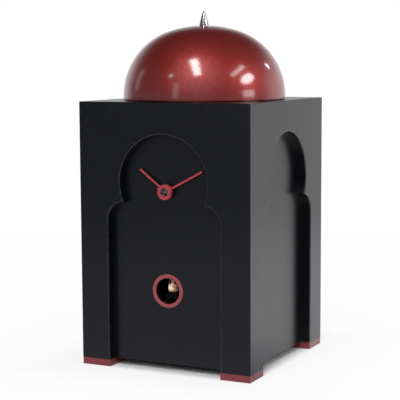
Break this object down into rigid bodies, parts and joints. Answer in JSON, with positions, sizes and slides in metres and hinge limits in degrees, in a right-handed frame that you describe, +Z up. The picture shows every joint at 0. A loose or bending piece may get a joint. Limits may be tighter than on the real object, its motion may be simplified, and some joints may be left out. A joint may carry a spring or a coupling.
{
  "type": "cuckoo table clock",
  "caption": "Domed cuckoo table clock: arched square case on block feet, turning hands, a bird that slides out of a porthole, and a rear door.",
  "frame": {"origin": "on the standing surface under the middle of the square case", "axes": "+Z up, the front with the hands and the porthole faces -Y, +X to the viewer's right of the front"},
  "size_m": [0.22, 0.22, 0.4201],
  "materials": {
    "black_lacquered_wood": "satin black lacquer on wood board",
    "red_metallic_lacquer": "metallic red lacquer on turned wood",
    "red_lacquer": "satin red lacquer on wood",
    "red_painted_metal": "satin red paint",
    "chrome": "polished chrome plate",
    "steel": "zinc plated steel",
    "brass": "machined brass",
    "plain_wood": "unfinished softwood and plywood",
    "cream_painted_wood": "cream paint on carved wood",
    "beak_red": "dark red paint on carved wood",
    "grey_plastic": "moulded grey plastic",
    "black_plastic": "moulded black plastic",
    "white_plastic": "moulded white acetal",
    "circuit_board": "green resist on glass epoxy",
    "copper_winding": "enamelled copper wire",
    "paper_cone": "treated black paper",
    "magnet_steel": "ferrite ring between steel plates",
    "battery_jacket": "plain steel jacket"
  },
  "bodies": {
    "case": {"battery_cells": "battery_jacket", "battery_contacts": "steel", "battery_holder": "black_plastic", "bottom_board": "black_lacquered_wood", "bush_nut": "brass", "centre_bush": "brass", "chassis_screws": "steel", "circuit_board": "circuit_board", "coil": "copper_winding", "control_box": "black_plastic", "corner_posts": "plain_wood", "cuckoo_chassis": "black_plastic", "dome": "red_metallic_lacquer", "dome_screws": "steel", "dome_seat_disc": "black_lacquered_wood", "door_catch": "black_plastic", "foot_front_left": "red_lacquer", "foot_front_right": "red_lacquer", "foot_rear_left": "red_lacquer", "foot_rear_right": "red_lacquer", "foot_screws": "steel", "front_arch_panel": "black_lacquered_wood", "front_inner_panel": "black_lacquered_wood", "gearbox": "black_plastic", "left_arch_panel": "black_lacquered_wood", "left_inner_panel": "black_lacquered_wood", "motor": "steel", "movement_case": "black_plastic", "movement_cover": "grey_plastic", "porthole_ring": "red_lacquer", "rear_arch_panel": "black_lacquered_wood", "rear_inner_panel": "black_lacquered_wood", "right_arch_panel": "black_lacquered_wood", "right_inner_panel": "black_lacquered_wood", "speaker_basket": "steel", "speaker_cone": "paper_cone", "speaker_magnet": "magnet_steel", "spike": "chrome", "top_board": "black_lacquered_wood"},
    "minute": {"minute_hand": "red_painted_metal", "hand_nut": "steel", "minute_arbor": "steel"},
    "hour": {"hour_hand": "red_painted_metal", "hour_wheel": "white_plastic"},
    "motion": {"motion_wheel": "white_plastic", "setting_knob": "black_plastic"},
    "carriage": {"carriage": "grey_plastic", "bird_body": "cream_painted_wood", "bird_beak": "beak_red"},
    "drive": {"drive_pinion": "white_plastic"},
    "door": {"rear_door": "black_lacquered_wood", "door_pins": "steel", "door_knob": "black_lacquered_wood"},
    "switch": {"mode_switch": "black_plastic"}
  },
  "joints": [
    {"name": "minute_turn", "type": "hinge", "parent": "case", "child": "minute", "pos_m": [0, -0.098, 0.211], "axis": [0, 1, 0], "continuous": true},
    {"name": "hour_turn", "type": "hinge", "parent": "case", "child": "hour", "pos_m": [0, -0.098, 0.211], "axis": [0, 1, 0], "continuous": true},
    {"name": "motion_turn", "type": "hinge", "parent": "case", "child": "motion", "pos_m": [0, -0.084, 0.201], "axis": [0, 1, 0], "continuous": true},
    {"name": "bird_slide", "type": "slide", "parent": "case", "child": "carriage", "axis": [0, -1, 0], "range_m": [0, 0.026]},
    {"name": "drive_turn", "type": "hinge", "parent": "case", "child": "drive", "pos_m": [0, -0.058, 0.07968], "axis": [1, 0, 0], "range_deg": [0, 311]},
    {"name": "door_hinge", "type": "hinge", "parent": "case", "child": "door", "pos_m": [-0.043, 0.095, 0.136], "axis": [0, 0, 1], "range_deg": [0, 90]},
    {"name": "switch_slide", "type": "slide", "parent": "case", "child": "switch", "axis": [1, 0, 0], "range_m": [0, 0.005]}
  ],
  "couplings": [
    {"joint": "motion_turn", "follows": "minute_turn", "ratio": -0.33333},
    {"joint": "hour_turn", "follows": "minute_turn", "ratio": 0.083333},
    {"joint": "drive_turn", "follows": "bird_slide", "rad_per_m": 208.33}
  ]
}
